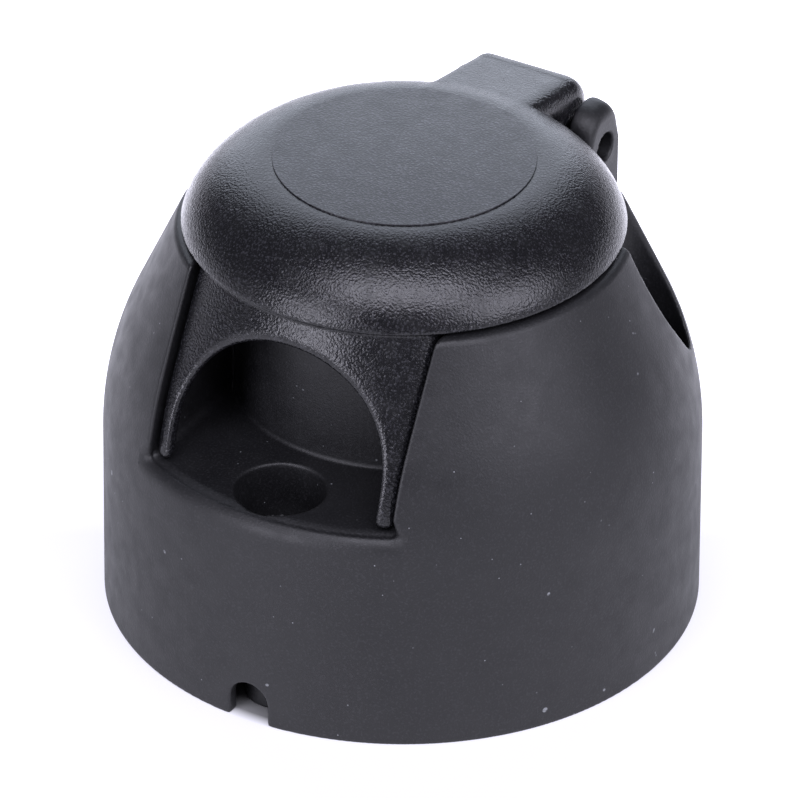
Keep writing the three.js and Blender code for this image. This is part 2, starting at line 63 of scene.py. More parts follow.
# bell
FOOT_RADIUS = 41.0
FOOT_HEIGHT = 25.0
FOOT_DRAFT = 0.15
SHOULDER_RADIUS = 45.0
CONE_ANGLE = math.radians(24.9)
DECK_Z = 57.0
DECK_THICKNESS = 2.4
WALL = 2.0
TUCK = 0.5  # what an inner wall stays below the deck

# finger recess
WINDOW_HALF = 18.7
RECESS_FLOOR_Z = 32.4
RECESS_WALL = 2.0
RECESS_INSET = 0.4  # of its walls from the bell's surface
WINDOW_ROUND = 0.6
LIP_ROUND = 2.1  # more than at the window's sides
LIP_RISE = 2.5

# barrel
BARREL_RADIUS = 23.0
BARREL_TOP_Z = 58.2
BARREL_FOOT_Z = 31.5
MOUTH_RADIUS = 20.3
LEDGE_TOP_Z = 34.0
LEDGE_RADIUS = 18.0
KEY_WIDTH = 5.0
NOTCH_WIDTH = 3.0
KEY_DEPTH = 1.2

# mounting screws
SCREW_CIRCLE = 56 / math.sqrt(3)
SCREW_ANGLES = (-90, 30, 150)
WELL_RADIUS = 6.2
WELL_WALL = 1.5
WELL_INSET = 0.6
WELL_SEAT_Z = 24.0
BOSS_RADIUS = 5.0
SCREW_HOLE_RADIUS = 2.75

# drain notch
DRAIN_HALF = 2.9
DRAIN_HEIGHT = 5.9

# hinge
HINGE_Y = 34.1
HINGE_Z = 55.0
EAR_INNER_X = 8.4
EAR_OUTER_X = 12.0
EAR_BACK_Y = 38.0
EAR_TOP_Z = 61.5
EAR_FRONT_Y = 29.8
EAR_ROUND = 3.6
EAR_SIDE_ROUND = 3.4
EAR_EDGE_ROUND = 0.3
EAR_CLEARANCE = 0.5
HINGE_POCKET_Z = 49.4
HINGE_POCKET_FRONT_Y = 28.6
POCKET_ROUND = 0.7
HINGE_HOLE_ROUND = 0.35
PIN_HOLE_RADIUS = 2.1
PIN_RADIUS = 1.8
PIN_HALF_LENGTH = 10.4

# lid
DISC_RADIUS = 17.74
LID_TOP_Z = 67.3
DISC_STEP = 0.2
RIM_RADIUS = 30.0
RIM_Z = 57.4
RIM_EDGE = 0.4
DOME_RIM_INSET = 1.35
DOME_RIM_RISE = 5.6
DOME_TOP_REACH = 4.35
LID_WALL = 2.2
ARM_HALF = 8.1
ARM_BACK_Y = 37.4
ARM_ROOT_Z = 67.0
ARM_SLOPE = 0.17
ARM_ROOT_OVERLAP = 1.0
ARM_LEFT_ROUND = 1.6
ARM_RIGHT_ROUND = 3.4
ARM_ROUND = 4.5
KNUCKLE_RADIUS = 3.7
CHEEK_INNER_X = 5.2
ARM_CEILING_Z = 60.0
TAB_HALF = 18.2
TAB_SINK = 1.35
TAB_THICKNESS = 2.3
TAB_TIP_Z = 32.75
ARCH_RADIUS = 15.9
ARCH_Z = 37.2
ARCH_LEG_ROUND = 1.1
ARCH_CROWN_ROUND = 1.1  # more than at the legs

# seal and spring
GAP = 0.3
SEAL_INNER = 19.4
SEAL_OUTER = 24.1
SEAL_HEIGHT = 2.0
SEAL_LIP_HALF = 0.9
SEAL_GROOVE_HALF = 0.5
SEAL_GROOVE = 0.4
SEAL_EDGE = 0.3
RIB_WIDTH = 1.5
RIB_OVERLAP = 1.2
COIL_RADIUS = 2.5
COIL_HALF_LENGTH = 3.9
COIL_TURNS = 7
TURN_STEPS = 36
WIRE_RADIUS = 0.4
LEG_LENGTH = 4.2
LEG_LEAN = 0.5

# insert, gasket, screws
INSERT_RADIUS = 23.0
INSERT_TOP_Z = 29.9
INSERT_THICKNESS = 4.0
POST_RADIUS = 15.0
POST_TOP_Z = 50.0
GASKET_INNER = 18.5
GASKET_OUTER = 22.7
GASKET_THICKNESS = 1.0
LUG_CIRCLE = 25.7
LUG_RADIUS = 3.2
LUG_BOSS_TOP_Z = 46.0
LUG_ANGLES = (90, 210, 330)
SHANK_RADIUS = 1.2
SHANK_LENGTH = 14.0
SHANK_START = 1.0  # above the foot of the head
HEAD_RADIUS = 2.3
HEAD_HEIGHT = 1.9
HEAD_DOME = 1.2
SHANK_BLEND = 0.2
THREAD_PITCH = 1.0
THREAD_DEPTH = 0.18
CROSS_HALF = 0.35
CROSS_REACH = HEAD_RADIUS * 0.62
CROSS_DEPTH = 1.1

# contacts
OUTER_CIRCLE, OUTER_COUNT, OUTER_TERMINAL_Z = 11.2, 8, 15.0
INNER_CIRCLE, INNER_COUNT, INNER_TERMINAL_Z = 5.6, 4, 9.5
MIDDLE_TERMINAL_Z = 4.5
CONTACT_RADIUS = 2.0
CONTACT_BORE = 1.35
CONTACT_BORE_FOOT_Z = 32.0
CONTACT_TOP_Z = 48.5
TERMINAL_RADIUS = 2.4
WIRE_BORE = 1.3
WIRE_DEPTH = 6.0
CLAMP_HEIGHT = 2.6
CLAMP_RADIUS = 0.9
CLAMP_HEAD_RADIUS = 1.6
CLAMP_HEAD_HEIGHT = 1.2
CLAMP_ROUND = 0.2
CLAMP_HEAD_ROUND = 0.35
CLAMP_BLEND = 0.1
SLOT_WIDTH = 0.5
SLOT_DEPTH = 0.6


# roundings, by how far each reaches along the surfaces that meet
CRISP = 0.3
CREASE = 0.4
EDGE = 0.5
SOFT = 0.6
ROUND = 0.8
DECK_ROUND = 0.9
FULL = 1.0
TIP_ROUND = 1.2
INSIDE_ROUND = 2.0
FINE_CUT = 0.12


# ---- fields ----
def smooth_max(a, b, width):
    """The larger of two fields, with the corner between them rounded over about width."""
    overlap = np.maximum(width - np.abs(a - b), 0) / width
    return np.maximum(a, b) + overlap * overlap * width / 4


def smooth_min(a, b, width):
    return -smooth_max(-a, -b, width)


def slab(v, low, high):
    return np.maximum(low - v, v - high)


def rounded_rectangle(u, v, u_range, v_range, radius):
    du = np.abs(u - sum(u_range) / 2) - (u_range[1] - u_range[0]) / 2 + radius
    dv = np.abs(v - sum(v_range) / 2) - (v_range[1] - v_range[0]) / 2 + radius
    corner = np.hypot(np.maximum(du, 0), np.maximum(dv, 0))
    return corner + np.minimum(np.maximum(du, dv), 0) - radius


def rod(x, y, z, radius, bottom, top, edge):
    return smooth_max(np.hypot(x, y) - radius, slab(z, bottom, top), edge)


def around(x, y, radius, angles):
    """Distance from the nearest of several axes that stand on a circle about Z."""
    best = None
    for degrees in angles:
        angle = math.radians(degrees)
        dx, dy = x - radius * math.cos(angle), y - radius * math.sin(angle)
        distance = np.hypot(dx, dy)
        best = distance if best is None else np.minimum(best, distance)
    return best


def bell(x, y, z):
    """Distance outside the bell: upright foot, round shoulder, cone."""
    r = np.hypot(x, y)
    foot_top = FOOT_RADIUS - FOOT_DRAFT
    centre = foot_top - SHOULDER_RADIUS
    foot = r - FOOT_RADIUS + FOOT_DRAFT * np.clip(z / FOOT_HEIGHT, 0, 1)
    out, up = r - centre, z - FOOT_HEIGHT
    shoulder = np.hypot(out, up) - SHOULDER_RADIUS
    cone = out * math.cos(CONE_ANGLE) + up * math.sin(CONE_ANGLE) - SHOULDER_RADIUS
    past = up - out * math.tan(CONE_ANGLE)
    return np.where(up < 0, foot, np.where(past < 0, shoulder, cone))


def filleted(corners, steps=5):
    """The outline through corners (u, v, radius), each rounded by its own radius."""
    outline = []
    count = len(corners)
    for i, (u, v, radius) in enumerate(corners):
        here = Vector((u, v))
        if radius == 0:
            outline.append(here)
            continue
        before = (Vector(corners[i - 1][:2]) - here).normalized()
        after = (Vector(corners[(i + 1) % count][:2]) - here).normalized()
        half = before.angle(after) / 2
        reach = radius / math.tan(half)
        centre = here + (before + after).normalized() * (radius / math.sin(half))
        start, end = here + before * reach - centre, here + after * reach - centre
        turn = start.angle_signed(end)
        for k in range(steps + 1):
            angle = -turn * k / steps
            c, s = math.cos(angle), math.sin(angle)
            outline.append(centre + Vector((c * start.x - s * start.y, s * start.x + c * start.y)))
    return [(p.x, p.y) for p in outline]


TABLE_STEP = 0.1
TABLE_MARGIN = 2.5


def flat_field(outline):
    """Field of a closed outline in the plane: a function of u and v."""
    points = np.array(outline)
    low = points.min(0) - TABLE_MARGIN
    size = np.ceil((points.max(0) + TABLE_MARGIN - low) / TABLE_STEP).astype(int) + 1
    u = (low[0] + TABLE_STEP * np.arange(size[0]))[:, None]
    v = (low[1] + TABLE_STEP * np.arange(size[1]))[None, :]
    nearest = np.full(size, np.inf)
    inside = np.zeros(size, bool)
    for (u0, v0), (u1, v1) in zip(points, np.roll(points, -1, 0)):
        du, dv = u1 - u0, v1 - v0
        along = np.clip(((u - u0) * du + (v - v0) * dv) / max(du * du + dv * dv, 1e-12), 0, 1)
        if abs(u0) > 1e-6 or abs(u1) > 1e-6:  # a stretch on the axis isn't surface
            nearest = np.minimum(nearest, np.hypot(u - u0 - along * du, v - v0 - along * dv))
        if v0 != v1:
            inside ^= ((v0 > v) != (v1 > v)) & (u < u0 + (v - v0) * du / dv)
    table = np.where(inside, -nearest, nearest)

    def field(across, up):
        across, up = np.broadcast_arrays(across, up)
        a = np.clip((across - low[0]) / TABLE_STEP, 0, size[0] - 1.001)
        b = np.clip((up - low[1]) / TABLE_STEP, 0, size[1] - 1.001)
        i, j = a.astype(int), b.astype(int)
        a, b = a - i, b - j
        lower = table[i, j] * (1 - a) + table[i + 1, j] * a
        upper = table[i, j + 1] * (1 - a) + table[i + 1, j + 1] * a
        return lower * (1 - b) + upper * b

    return field


def arc(u, v, radius, start, end, steps=24):
    """Points on a circle, between two angles in degrees."""
    angles = [math.radians(start + (end - start) * k / steps) for k in range(steps + 1)]
    return [(u + radius * math.cos(a), v + radius * math.sin(a)) for a in angles]


# ---- meshes ----
CORNERS = [(i, j, k) for i in (0, 1) for j in (0, 1) for k in (0, 1)]
EDGES = [(a, b) for a in CORNERS for b in CORNERS if a < b and sum(np.abs(np.subtract(a, b))) == 1]


def gradient(field, points, reach=0.05):
    parts = []
    for axis in np.eye(3) * reach:
        parts.append(field(*(points + axis).T) - field(*(points - axis).T))
    return np.stack(parts, 1) / (2 * reach)


def settled(field, points, passes=4, limit=0.15):
    """Points moved onto the surface of field."""
    for _ in range(passes):
        slope = gradient(field, points)
        move = field(*points.T)[:, None] * slope / np.maximum((slope**2).sum(1), 0.3)[:, None]
        points = points - np.clip(move, -limit, limit)
    return points


def net(field, low, high, step):
    """Points and quads over the surface of field, one point in each grid cell that it crosses."""
    low = np.array(low, float)
    axes = [np.arange(a, b + step, step) for a, b in zip(low, high)]
    values = field(*np.meshgrid(*axes, indexing="ij", sparse=True))
    inside = values < 0
    shape = np.array(values.shape) - 1
    count = np.zeros(shape, np.int8)
    for i, j, k in CORNERS:
        count += inside[i : i + shape[0], j : j + shape[1], k : k + shape[2]]
    cells = np.argwhere((count > 0) & (count < 8))
    total = np.zeros((len(cells), 3))
    crossed = np.zeros(len(cells))
    for a, b in EDGES:
        va, vb = values[tuple((cells + a).T)], values[tuple((cells + b).T)]
        cross = (va < 0) != (vb < 0)
        share = np.where(cross, va / np.where(cross, va - vb, 1), 0)
        total += np.where(cross[:, None], a + share[:, None] * np.subtract(b, a), 0)
        crossed += cross
    points = low + (cells + total / crossed[:, None]) * step
    index = np.full(shape, -1)
    index[tuple(cells.T)] = np.arange(len(cells))
    quads = []
    for axis in range(3):
        u, v = np.eye(3, dtype=int)[(axis + 1) % 3], np.eye(3, dtype=int)[(axis + 2) % 3]
        far = np.roll(inside, -1, axis)
        starts = np.argwhere((inside != far)[tuple(slice(0, n) for n in shape)])
        starts = starts[(starts[:, (axis + 1) % 3] > 0) & (starts[:, (axis + 2) % 3] > 0)]
        loop = np.stack([index[tuple((starts - s).T)] for s in (0 * u, u, u + v, v)], 1)
        flip = ~inside[tuple(starts.T)]
        loop[flip] = loop[flip][:, ::-1]
        quads.append(loop)
    return points, np.concatenate(quads)


def show(name, mesh, material, body, slot, *nodes):
    piece = bpy.data.objects.new(name, mesh)
    bpy.context.scene.collection.objects.link(piece)
    mesh.materials.clear()
    mesh.materials.append(material)
    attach(piece, body)
    if nodes:
        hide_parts(*nodes)
    return piece


def moulded(name, field, low, high, step, triangles):
    """A mesh on the surface of field, thinned where it is flat, with the field's own normals."""
    points, quads = net(field, low, high, step)
    mesh = bpy.data.meshes.new(name)
    mesh.from_pydata(settled(field, points), [], quads)
    draft = bpy.data.objects.new(name + "_draft", mesh)
    bpy.context.scene.collection.objects.link(draft)
    thin = draft.modifiers.new("thin", "DECIMATE")
    thin.ratio = min(1, triangles / (2 * len(quads)))
    graph = bpy.context.evaluated_depsgraph_get()
    result = bpy.data.meshes.new_from_object(draft.evaluated_get(graph))
    bpy.data.objects.remove(draft)
    bpy.data.meshes.remove(mesh)
    co = np.zeros(3 * len(result.vertices))
    result.vertices.foreach_get("co", co)
    co = settled(field, co.reshape(-1, 3))
    slope = gradient(field, co)
    normals = slope / np.maximum(np.linalg.norm(slope, axis=1), 1e-6)[:, None]
    result.vertices.foreach_set("co", (co * MM).ravel())
    result.polygons.foreach_set("use_smooth", np.ones(len(result.polygons), bool))
    result.update()
    result.normals_split_custom_set_from_vertices(normals.tolist())
    result.name = name
    return result


def lathed(name, outline, sides=96, place=Matrix.Identity(4)):
    """A closed solid of revolution about Z, from its outline in radius and height."""
    points, faces = [], []
    rings = []
    for r, z in outline:
        if r < 1e-6:
            rings.append([len(points)])
            points.append((0, 0, z))
            continue
        rings.append(list(range(len(points), len(points) + sides)))
        for k in range(sides):
            angle = 2 * math.pi * k / sides
            points.append((r * math.cos(angle), r * math.sin(angle), z))
    for a, b in zip(rings, rings[1:] + rings[:1]):
        if len(a) == len(b) == 1:
            continue
        for k in range(sides):
            n = (k + 1) % sides
            loop = [a[k % len(a)], a[n % len(a)], b[n % len(b)], b[k % len(b)]]
            faces.append(list(dict.fromkeys(loop)))
    mesh = bpy.data.meshes.new(name)
    mesh.from_pydata([(place @ Vector(p)) * MM for p in points], [], faces)
    mesh.set_sharp_from_angle(angle=math.radians(35))
    mesh.polygons.foreach_set("use_smooth", [True] * len(faces))
    return mesh


WIRE_TIP = ((0.5, 0.8), (0.9, 0.35))  # distance past the end and width there, in radii


def tube(name, path, radius, sides=14):
    """A round wire along path, with rounded ends."""
    path = [Vector(p) for p in path]
    tangents = []
    for i in range(len(path)):
        ahead, behind = path[min(i + 1, len(path) - 1)], path[max(i - 1, 0)]
        tangents.append((ahead - behind).normalized())
    normal = tangents[0].orthogonal().normalized()
    points, faces = [], []
    stations = [(0, -ahead, width) for ahead, width in reversed(WIRE_TIP)]
    stations += [(i, 0, 1) for i in range(len(path))]
    stations += [(len(path) - 1, ahead, width) for ahead, width in WIRE_TIP]
    for i, ahead, width in stations:
        tangent = tangents[i]
        normal = (normal - tangent * normal.dot(tangent)).normalized()
        side = tangent.cross(normal)
        centre = path[i] + tangent * (ahead * radius)
        for k in range(sides):
            angle = 2 * math.pi * k / sides
            spoke = normal * math.cos(angle) + side * math.sin(angle)
            points.append((centre + spoke * radius * width) * MM)
    for ring in range(len(stations) - 1):
        for k in range(sides):
            a, b = ring * sides + k, ring * sides + (k + 1) % sides
            faces.append((a, b, b + sides, a + sides))
    faces.append(tuple(reversed(range(sides))))
    faces.append(tuple(range(len(points) - sides, len(points))))
    mesh = bpy.data.meshes.new(name)
    mesh.from_pydata(points, [], faces)
    mesh.polygons.foreach_set("use_smooth", [True] * len(faces))
    return mesh


# ---- materials ----
class Finish:
    """A principled material, built up from noise in object space."""

    def __init__(self, name, color, roughness, metallic=0.0, specular=0.5):
        self.material = bpy.data.materials.new(name)
        self.material.use_nodes = True
        self.nodes = self.material.node_tree.nodes
        self.links = self.material.node_tree.links
        self.shader = self.nodes["Principled BSDF"]
        self.shader.inputs["Base Color"].default_value = (*color, 1)
        self.shader.inputs["Roughness"].default_value = roughness
        self.shader.inputs["Metallic"].default_value = metallic
        self.shader.inputs["Specular IOR Level"].default_value = specular
        self.coordinates = self.nodes.new("ShaderNodeTexCoord").outputs["Object"]
        self.height = None

    def noise(self, size_mm, detail=2.0, stretch=(1, 1, 1)):
        """Values near 0 to 1 in blobs about size_mm across."""
        mapping = self.nodes.new("ShaderNodeMapping")
        mapping.inputs["Scale"].default_value = [1 / s for s in stretch]
        self.links.new(self.coordinates, mapping.inputs["Vector"])
        texture = self.nodes.new("ShaderNodeTexNoise")
        texture.inputs["Scale"].default_value = 0.5 / (size_mm * MM)
        texture.inputs["Detail"].default_value = detail
        self.links.new(mapping.outputs["Vector"], texture.inputs["Vector"])
        return texture.outputs["Fac"]

    def pits(self, size_mm):
        """Distance from the middle of irregular cells about size_mm across."""
        texture = self.nodes.new("ShaderNodeTexVoronoi")
        texture.feature = "SMOOTH_F1"
        texture.inputs["Scale"].default_value = 1 / (size_mm * MM)
        self.links.new(self.coordinates, texture.inputs["Vector"])
        return texture.outputs["Distance"]

    def ranged(self, value, source, target):
        node = self.nodes.new("ShaderNodeMapRange")
        node.inputs["From Min"].default_value, node.inputs["From Max"].default_value = source
        node.inputs["To Min"].default_value, node.inputs["To Max"].default_value = target
        self.links.new(value, node.inputs["Value"])
        return node.outputs["Result"]

    def mixed(self, factor, first, second):
        node = self.nodes.new("ShaderNodeMix")
        node.data_type = "RGBA"
        for socket, value in (("A", first), ("B", second)):
            target = [s for s in node.inputs if s.name == socket and s.type == "RGBA"][0]
            if isinstance(value, tuple):
                target.default_value = (*value, 1)
            else:
                self.links.new(value, target)
        factor_socket = [s for s in node.inputs if s.name == "Factor" and s.type == "VALUE"][0]
        self.links.new(factor, factor_socket)
        return [s for s in node.outputs if s.type == "RGBA"][0]

    def color(self, value):
        self.links.new(value, self.shader.inputs["Base Color"])

    def roughness(self, value):
        self.links.new(value, self.shader.inputs["Roughness"])

    def bump(self, value, depth_mm, strength=1.0):
        node = self.nodes.new("ShaderNodeBump")
        node.inputs["Distance"].default_value = depth_mm * MM
        node.inputs["Strength"].default_value = strength
        self.links.new(value, node.inputs["Height"])
        if self.height is not None:
            self.links.new(self.height, node.inputs["Normal"])
        self.height = node.outputs["Normal"]
        self.links.new(self.height, self.shader.inputs["Normal"])


DUST = (0.5, 0.52, 0.55)
DUST_SPACING = 2.6
DUST_SIZE = (0.02, 0.05)  # the speck's solid middle and its edge, in shares of the spacing
NOISE_MIDDLE = (0.3, 0.7)  # where nearly all of a noise lies
# where the grain's noise is painted as lighter flecks, partly tone and partly painted glints
GLINT_FLECK_RANGE = (0.52, 0.75)


def black_plastic(name, base, fleck_and_glint, roughness, grain_mm, grain_depth, dust=0.0, painted_glint=1.0):
    """Moulded black plastic: an etched grain, a little mottling, a few dust specks, and flecks on the
    grain that are partly the plastic's lighter tone and partly painted glints.
    """
    finish = Finish(name, base, roughness)
    mottle = finish.ranged(finish.noise(6, 3), NOISE_MIDDLE, (0, 1))
    tint = finish.mixed(mottle, base, fleck_and_glint)
    if dust:
        specks = finish.ranged(finish.pits(DUST_SPACING), DUST_SIZE, (dust, 0))
        tint = finish.mixed(specks, tint, DUST)
    # flecks on the grain in the lighter fleck tone, made lighter still as painted glints where the
    # gain is above 1
    glint_flecks = finish.ranged(finish.noise(grain_mm, 1), GLINT_FLECK_RANGE, (0, 1))
    tint = finish.mixed(glint_flecks, tint, tuple(painted_glint * channel for channel in fleck_and_glint))
    finish.color(tint)
    gloss = (roughness - 0.05, roughness + 0.05)
    finish.roughness(finish.ranged(finish.noise(1.4, 3), NOISE_MIDDLE, gloss))
    finish.bump(finish.noise(grain_mm, 1.5), grain_depth)
    return finish.material


def metal(name, color, dull, roughness, along=(1, 1, 1)):
    finish = Finish(name, color, roughness, metallic=1.0)
    tarnish = finish.ranged(finish.noise(1.5, 4), (0.35, 0.7), (0, 1))
    finish.color(finish.mixed(tarnish, color, dull))
    gloss = (roughness - 0.08, roughness + 0.1)
    finish.roughness(finish.ranged(finish.noise(0.5, 3), NOISE_MIDDLE, gloss))
    finish.bump(finish.noise(0.12, 2, along), 0.004)
    return finish.material


# shell, lid and disc get painted glints: grain flecks painted two and five times lighter than their
# fleck tone
SHELL = black_plastic(
    "shell_plastic", (0.005, 0.005, 0.006), (0.008, 0.008, 0.009), 0.5, 0.16, 0.03, dust=0.4, painted_glint=2
)
LID = black_plastic(
    "lid_plastic", (0.004, 0.004, 0.005), (0.006, 0.006, 0.007), 0.25, 0.16, 0.085, painted_glint=5
)
DISC = black_plastic(
    "disc_plastic", (0.006, 0.006, 0.007), (0.009, 0.009, 0.011), 0.36, 0.16, 0.09, painted_glint=5
)
INSERT = black_plastic("insert_plastic", (0.012, 0.012, 0.013), (0.016, 0.016, 0.018), 0.45, 0.3, 0.01)
RUBBER = black_plastic("seal_rubber", (0.010, 0.010, 0.010), (0.016, 0.016, 0.016), 0.75, 0.5, 0.01)
BRASS = metal("contact_brass", (0.75, 0.5, 0.18), (0.5, 0.32, 0.12), 0.28)
PIN = metal("pin_steel", (0.22, 0.22, 0.23), (0.12, 0.12, 0.12), 0.35, (8, 1, 1))
SPRING = metal("spring_steel", (0.45, 0.45, 0.47), (0.3, 0.3, 0.3), 0.3)
SCREW = metal("screw_steel", (0.62, 0.62, 0.6), (0.5, 0.48, 0.4), 0.3)


# ---- housing ----
def hinge_block(x, y, z):
    ears = rounded_rectangle(y, z, (EAR_FRONT_Y, EAR_BACK_Y), (FOOT_HEIGHT, EAR_TOP_Z), EAR_ROUND)
    root_depth = slab(y, HINGE_POCKET_FRONT_Y - WALL, EAR_BACK_Y)
    root = np.maximum(root_depth, slab(z, FOOT_HEIGHT, DECK_Z - DECK_THICKNESS))
    height = np.clip((z - HINGE_Z) / (EAR_TOP_Z - HINGE_Z), 0, 1)
    edge = EAR_EDGE_ROUND + (EAR_SIDE_ROUND - EAR_EDGE_ROUND) * height
    return smooth_max(np.minimum(ears, root), np.abs(x) - EAR_OUTER_X, edge)


def shell(x, y, z):
    wall = bell(x, y, z)
    outside = smooth_max(smooth_max(wall, z - DECK_Z, DECK_ROUND), -z, CREASE)
    block = np.maximum(hinge_block(x, y, z), FOOT_HEIGHT - z)
    body = smooth_min(outside, block, FULL)
    inside = smooth_max(wall + WALL, z - DECK_Z + DECK_THICKNESS, INSIDE_ROUND)
    hollow_x = np.abs(x) - EAR_OUTER_X + WALL
    hollow = smooth_max(hollow_x, np.maximum(-y, y - EAR_BACK_Y + WALL), FULL)
    hollow = smooth_max(hollow, z - HINGE_POCKET_Z + WALL, FULL)
    ribs = np.maximum(hinge_block(x, y, z), -hollow)
    body = smooth_max(body, -inside, EDGE)
    body = smooth_min(body, np.maximum(ribs, wall + WALL / 2), EDGE)
    return smooth_max(body, -hollow, EDGE)


def recess(x, y, z):
    """The floor and side walls round the finger recess, before it is cut out."""
    side = np.abs(x) - WINDOW_HALF - RECESS_WALL
    block = np.maximum(np.maximum(side, y), slab(z, RECESS_FLOOR_Z - RECESS_WALL, DECK_Z - TUCK))
    return np.maximum(block, bell(x, y, z) + RECESS_INSET)


def recess_cut(x, y, z):
    corner = smooth_max(np.abs(x) - WINDOW_HALF, RECESS_FLOOR_Z - z, TIP_ROUND)
    return np.maximum(smooth_max(corner, BARREL_RADIUS - np.hypot(x, y), SOFT), y)


def keyways(x, y, z):
    slots = None
    for degrees, width in ((-90, KEY_WIDTH), (30, NOTCH_WIDTH), (150, NOTCH_WIDTH)):
        angle = math.radians(degrees)
        along = x * math.cos(angle) + y * math.sin(angle)
        across = y * math.cos(angle) - x * math.sin(angle)
        slot = smooth_max(slab(along, 0, MOUTH_RADIUS + KEY_DEPTH), np.abs(across) - width / 2, EDGE)
        slots = slot if slots is None else np.minimum(slots, slot)
    return np.maximum(slots, LEDGE_TOP_Z - z)


def housing(x, y, z):
    r = np.hypot(x, y)
    well = around(x, y, SCREW_CIRCLE, SCREW_ANGLES)
    body = smooth_min(shell(x, y, z), recess(x, y, z), EDGE)
    barrel = smooth_max(r - BARREL_RADIUS, slab(z, BARREL_FOOT_Z, BARREL_TOP_Z), ROUND)
    body = smooth_min(body, barrel, CREASE)
    lug = around(x, y, LUG_CIRCLE, LUG_ANGLES)
    lug_boss = np.maximum(lug - LUG_RADIUS, slab(z, BARREL_FOOT_Z, LUG_BOSS_TOP_Z))
    body = smooth_min(body, lug_boss, EDGE)
    tube_wall = np.maximum(well - WELL_RADIUS - WELL_WALL, slab(z, WELL_SEAT_Z - WALL, DECK_Z - TUCK))
    body = smooth_min(body, np.maximum(tube_wall, bell(x, y, z) + WELL_INSET), SOFT)
    boss = smooth_max(well - BOSS_RADIUS, slab(z, 0, WELL_SEAT_Z), SOFT)
    body = smooth_min(body, boss, SOFT)

    near_floor = np.clip((RECESS_FLOOR_Z + LIP_RISE - z) / LIP_RISE, 0, 1)
    edge = WINDOW_ROUND + LIP_ROUND * near_floor * (np.abs(x) < WINDOW_HALF + RECESS_WALL)
    body = smooth_max(body, -recess_cut(x, y, z), edge)
    rim = np.where(y < -SCREW_CIRCLE / 2, CREASE, DECK_ROUND)
    body = smooth_max(body, -np.maximum(well - WELL_RADIUS, WELL_SEAT_Z - z), rim)
    body = smooth_max(body, SCREW_HOLE_RADIUS - well, CREASE)
    bore = np.where(z > LEDGE_TOP_Z, r - MOUTH_RADIUS, r - LEDGE_RADIUS)
    mouth = smooth_min(smooth_max(r - MOUTH_RADIUS, LEDGE_TOP_Z - z, CRISP), r - LEDGE_RADIUS, CREASE)
    seat = np.maximum(r - BARREL_RADIUS, z - BARREL_FOOT_Z)
    body = smooth_max(body, -np.minimum(np.minimum(mouth, seat), bore), ROUND)
    body = smooth_max(body, -keyways(x, y, z), CREASE)
    pilot_top = INSERT_TOP_Z - INSERT_THICKNESS + SHANK_LENGTH + GAP
    body = smooth_max(body, -np.maximum(lug - SHANK_RADIUS - GAP, z - pilot_top), CRISP)
    pocket = np.maximum(np.abs(x) - EAR_INNER_X, HINGE_POCKET_FRONT_Y - y)
    body = smooth_max(body, -smooth_max(pocket, HINGE_POCKET_Z - z, FULL), POCKET_ROUND)
    hinge_hole = np.hypot(y - HINGE_Y, z - HINGE_Z) - PIN_HOLE_RADIUS
    body = smooth_max(body, -hinge_hole, HINGE_HOLE_ROUND)
    drain_arch = np.hypot(x, np.maximum(z - DRAIN_HEIGHT + DRAIN_HALF, 0)) - DRAIN_HALF
    drain = np.maximum(drain_arch, y + FOOT_RADIUS - WALL - FULL)
    return smooth_max(body, -drain, EDGE)


# ---- lid ----
def dome_points(count):
    shape = (
        (RIM_RADIUS, RIM_Z + RIM_EDGE),
        (RIM_RADIUS - DOME_RIM_INSET, RIM_Z + DOME_RIM_RISE),
        (DISC_RADIUS + DOME_TOP_REACH, LID_TOP_Z - DISC_STEP),
        (DISC_RADIUS + DISC_STEP, LID_TOP_Z - DISC_STEP),
    )
    points = []
    for t in np.linspace(0, 1, count):
        weights = ((1 - t) ** 3, 3 * t * (1 - t) ** 2, 3 * t * t * (1 - t), t**3)
        points.append(tuple(sum(w * p[i] for w, p in zip(weights, shape)) for i in (0, 1)))
    return points


def cap_outline():
    rib_foot = BARREL_TOP_Z + GAP + SEAL_HEIGHT - RIB_OVERLAP
    seat = BARREL_TOP_Z + GAP + SEAL_HEIGHT + GAP
    inner_rib = SEAL_INNER - GAP
    outer_rib = SEAL_OUTER + GAP
    ceiling = LID_TOP_Z - LID_WALL
    corners = [
        (0, ceiling, 0),
        (inner_rib - RIB_WIDTH, ceiling, 0.8),
        (inner_rib - RIB_WIDTH, rib_foot, 0.4),
        (inner_rib, rib_foot, 0.3),
        (inner_rib, seat, 0.2),
        (outer_rib, seat, 0.2),
        (outer_rib, rib_foot, 0.3),
        (outer_rib + RIB_WIDTH, rib_foot, 0.4),
        (outer_rib + RIB_WIDTH, seat, 0.4),
        (RIM_RADIUS - LID_WALL, RIM_Z + LID_WALL / 2, 0.4),
        (RIM_RADIUS - LID_WALL, RIM_Z, 0.3),
        (RIM_RADIUS - RIM_EDGE, RIM_Z, 0.2),
    ]
    top = LID_TOP_Z - DISC_STEP
    return filleted(corners + [(r, z, 0) for r, z in dome_points(40)] + [(0, top, 0)])


CAP = flat_field(cap_outline())


def arm_outline():
    """Side view of the arm: knuckle, round back, sloping top, and a root inside the dome."""
    round_y = ARM_BACK_Y - ARM_ROUND
    top = ARM_ROOT_Z - ARM_SLOPE * (round_y - DISC_RADIUS)
    front = HINGE_Y - KNUCKLE_RADIUS
    inner = RIM_RADIUS - LID_WALL
    root = DISC_RADIUS - ARM_ROOT_OVERLAP
    points = [(front, RIM_Z)]
    points += arc(HINGE_Y, HINGE_Z, KNUCKLE_RADIUS, 180, 360)
    points += arc(round_y, top - ARM_ROUND, ARM_ROUND, 0, 90)
    points += [(DISC_RADIUS, ARM_ROOT_Z), (root, ARM_ROOT_Z), (root, ARM_ROOT_Z - LID_WALL / 2)]
    return points + [(inner, RIM_Z + LID_WALL), (inner, RIM_Z)]


